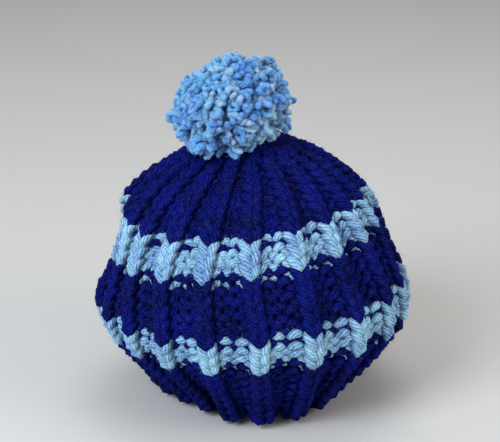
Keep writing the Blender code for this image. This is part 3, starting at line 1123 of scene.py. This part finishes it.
def add_pompom(tree, yarns):
    rng, tint = random.Random(SEED + 1), random.Random(SEED + 2)
    taper = np.ones(STRAND_POINTS)
    taper[-2:] = STRAND_TIP
    # Painted shade: strands are drawn darker towards their roots, deep in the pompom; their
    # paleness, below, grows from root to tip.
    light = np.linspace(STRAND_ROOT_PAINTED_LIGHT, 1.0, STRAND_POINTS)[:, None]
    fading = np.linspace(PALE_ROOT, 1.0, STRAND_POINTS)
    cut = [(direction, 1.0) for direction in strand_directions(rng)]
    cut += [(Vector(way), stretch) for way, stretch in POMPOM_TAILS]
    paths, radii, outwards, pales = [], [], [], []
    for direction, stretch in cut:
        paths.append(strand_path(direction.normalized(), rng, stretch))
        radii.append(STRAND_RADIUS * rng.uniform(*STRAND_RADIUS_SPREAD) * taper)
        outwards.append(unit(paths[-1] - POMPOM_MIDDLE) * light * rng.uniform(*STRAND_LIGHT_SPREAD))
        # Paler strands: a random paler tone plus a painted highlight on strands that point towards
        # +x.
        pale_tone_and_highlight = tint.uniform(*PALE_SPREAD) + PAINTED_HIGHLIGHT_SIDE * direction.normalized().x
        pales.append(min(PALE_STRANDS * max(0.0, pale_tone_and_highlight), PALEST_STRAND) * fading)
    strands = spin_yarn("pompom_strands", tree, paths, radii, outwards, yarns["pompom"],
                        sides=STRAND_SIDES, fuzz=POMPOM_FUZZ, pales=pales)
    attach(strands, "root")
    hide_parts("pompom")
    add_pompom_core(yarns)


def add_pompom_core(yarns):
    """The lumpy heart that the strands are tied at; it keeps the eye from looking through."""
    mesh = bpy.data.meshes.new("pompom_core")
    core = bmesh.new()
    bmesh.ops.create_icosphere(core, subdivisions=4, radius=POMPOM_CORE)
    for vertex in core.verts:
        lump = noise.noise(vertex.co * CORE_LUMPS_PER_METRE) * CORE_LUMP
        vertex.co += vertex.co.normalized() * lump
        vertex.co.z *= POMPOM_FLATTENING
        vertex.co += Vector(POMPOM_MIDDLE)
        vertex.co.z = max(vertex.co.z, crown_height(vertex.co.x, vertex.co.y) + CORE_CLEARANCE)
    core.to_mesh(mesh)
    core.free()
    mesh.materials.append(yarns["pompom"])
    mesh.shade_smooth()
    heart = placed("pompom_core", mesh)
    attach(heart, "root")
    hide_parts("pompom")


# ---------------------------------------------------------------- stage, light and camera

FLOOR_HALF_SIZE = 9.0
FLOOR_COLOUR = (0.62, 0.61, 0.59, 1.0)
FLOOR_ROUGHNESS = 0.8
SKY_COLOUR = (0.86, 0.88, 0.92, 1.0)
SKY_STRENGTH = 0.43
Lamp = namedtuple("Lamp", "name place size power tint")
LAMPS = (
    Lamp("key", (-0.85, -1.00, 1.00), 0.8, 24.0, (0.84, 0.92, 1.0)),
    Lamp("fill", (1.2, -0.6, 0.7), 0.9, 8.0, (1.0, 0.96, 0.9)),
    Lamp("top", (0.1, 0.5, 1.5), 0.9, 6.5, (1.0, 0.98, 0.95)),
)
LAMP_TARGET = Vector((0.0, 0.0, 0.1))
CAMERA_TARGET = Vector((0.0, 0.0, 0.080))
CAMERA_DISTANCE = 0.95
CAMERA_ELEVATION = math.radians(20.5)
SENSOR_WIDTH = 36.0
# Focal length and shifts in pixels of a render that is so many pixels wide.
RENDER_WIDTH_PX = 500.0
FOCAL_LENGTH_PX = 1501.0
SHIFT_X_PX, SHIFT_Y_PX = -5.0, 46.0


def look_at(item, place, target):
    item.location = place
    item.rotation_euler = (target - Vector(place)).to_track_quat("-Z", "Y").to_euler()


def add_stage():
    half = FLOOR_HALF_SIZE
    floor_mesh = bpy.data.meshes.new("floor")
    corners = [(-half, -half, 0), (half, -half, 0), (half, half, 0), (-half, half, 0)]
    floor_mesh.from_pydata(corners, [], [(0, 1, 2, 3)])
    paint = bpy.data.materials.new("pale_floor")
    paint.use_nodes = True
    finish = paint.node_tree.nodes["Principled BSDF"].inputs
    finish["Base Color"].default_value = FLOOR_COLOUR
    finish["Roughness"].default_value = FLOOR_ROUGHNESS
    floor_mesh.materials.append(paint)
    floor = placed("floor", floor_mesh)


def add_lights():
    world = bpy.data.worlds.new("studio")
    bpy.context.scene.world = world
    world.use_nodes = True
    background = world.node_tree.nodes["Background"].inputs
    background["Color"].default_value = SKY_COLOUR
    background["Strength"].default_value = SKY_STRENGTH
    for lamp in LAMPS:
        light = bpy.data.lights.new(lamp.name, "AREA")
        light.color = lamp.tint
        light.shape = "SQUARE"
        light.size = lamp.size
        light.energy = lamp.power
        look_at(placed(lamp.name, light), lamp.place, LAMP_TARGET)


def add_camera():
    bpy.context.scene.view_settings.view_transform = "Standard"
    lens = bpy.data.cameras.new("camera")
    lens.sensor_width = SENSOR_WIDTH
    lens.lens = SENSOR_WIDTH * FOCAL_LENGTH_PX / RENDER_WIDTH_PX
    lens.shift_x = SHIFT_X_PX / RENDER_WIDTH_PX
    lens.shift_y = SHIFT_Y_PX / RENDER_WIDTH_PX
    way = Vector((0.0, -math.cos(CAMERA_ELEVATION), math.sin(CAMERA_ELEVATION)))
    camera = placed("camera", lens)
    look_at(camera, CAMERA_TARGET + CAMERA_DISTANCE * way, CAMERA_TARGET)
    bpy.context.scene.camera = camera


def main():
    tree = plied_yarn_tree()
    surface = yarn_surface_group()
    yarns = {}
    for name, look in YARN_LOOKS.items():
        yarns[name] = yarn_material(name + "_yarn", surface, look)
    knit_bands(tree, yarns)
    add_pompom(tree, yarns)
    add_stage()
    add_lights()
    add_camera()


main()
